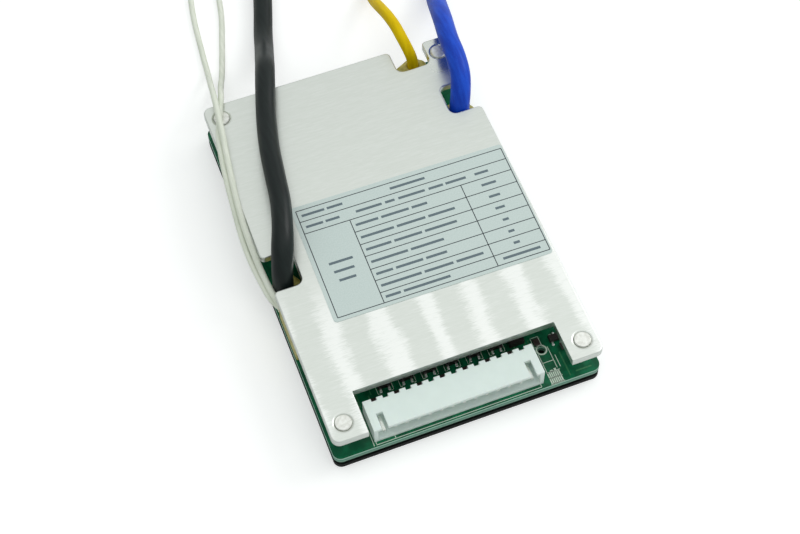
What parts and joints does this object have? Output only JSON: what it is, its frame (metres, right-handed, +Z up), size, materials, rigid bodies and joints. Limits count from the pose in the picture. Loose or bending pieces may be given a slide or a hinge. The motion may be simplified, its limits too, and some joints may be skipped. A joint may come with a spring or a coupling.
{
  "type": "battery management board",
  "caption": "Flat battery protection board: circuit board riveted between a black base plate and a notched aluminium cover, with a side-entry header and soldered wires.",
  "frame": {"origin": "middle of the base plate's footprint, on the surface that the base plate lies on", "axes": "+X along the board's width, to the right seen from the header; +Y along its length, away from the header; +Z up through the cover plate"},
  "size_m": [0.0789, 0.177, 0.0197],
  "materials": {
    "base_laminate": "satin black epoxy sheet",
    "board_laminate": "green solder mask, satin",
    "cover_aluminium": "bead-dull rolled sheet",
    "rivet_aluminium": "pressed, satin",
    "washer_nylon": "natural nylon",
    "pad_silicone": "soft grey gap pad",
    "moulding_compound": "moulded black",
    "tinned_copper": "matt tin plate",
    "shunt_alloy": "dull copper-manganese alloy",
    "chip_ceramic": "fired ceramic block",
    "resistor_glaze": "dark overglaze",
    "header_nylon": "milky unfilled nylon",
    "pin_tin": "bright tin plate",
    "solder": "wetted solder",
    "label_paper": "coated paper with a printed table",
    "khaki_sealant": "cured khaki sealant",
    "black_silicone": "satin silicone",
    "blue_silicone": "satin silicone",
    "yellow_silicone": "satin silicone",
    "white_sleeve": "smooth extruded sleeve",
    "tinned_strand": "twisted tinned strands",
    "bead_epoxy": "dipped epoxy"
  },
  "bodies": {
    "root": {"base_plate": "base_laminate", "base_spacers": "washer_nylon", "circuit_board": "board_laminate", "cover_plate": "cover_aluminium", "rivets": "rivet_aluminium", "thermal_pads": "pad_silicone", "power_transistor_bodies": "moulding_compound", "power_transistor_tabs": "tinned_copper", "power_transistor_leads": "tinned_copper", "shunt_strips": "shunt_alloy", "controller_body": "moulding_compound", "controller_leads": "tinned_copper", "balance_resistors": "resistor_glaze", "ceramic_capacitors": "chip_ceramic", "balance_transistor_bodies": "moulding_compound", "balance_transistor_leads": "tinned_copper", "channel_resistors": "resistor_glaze", "driver_transistor_body": "moulding_compound", "driver_transistor_leads": "tinned_copper", "regulator_body": "moulding_compound", "corner_resistors": "resistor_glaze", "header_housing": "header_nylon", "header_pins": "pin_tin", "header_solder": "solder", "wire_solder": "solder", "label": "label_paper", "black_wire_sealant": "khaki_sealant", "blue_wire_sealant": "khaki_sealant", "yellow_wire_sealant": "khaki_sealant", "lead_sealant": "khaki_sealant", "black_wire": "black_silicone", "blue_wire": "blue_silicone", "yellow_wire": "yellow_silicone", "sensor_lead_upper": "white_sleeve", "sensor_lead_lower": "white_sleeve", "black_wire_tip": "tinned_strand", "blue_wire_tip": "tinned_strand", "yellow_wire_tip": "tinned_strand", "sensor_bead": "bead_epoxy"}
  },
  "joints": []
}
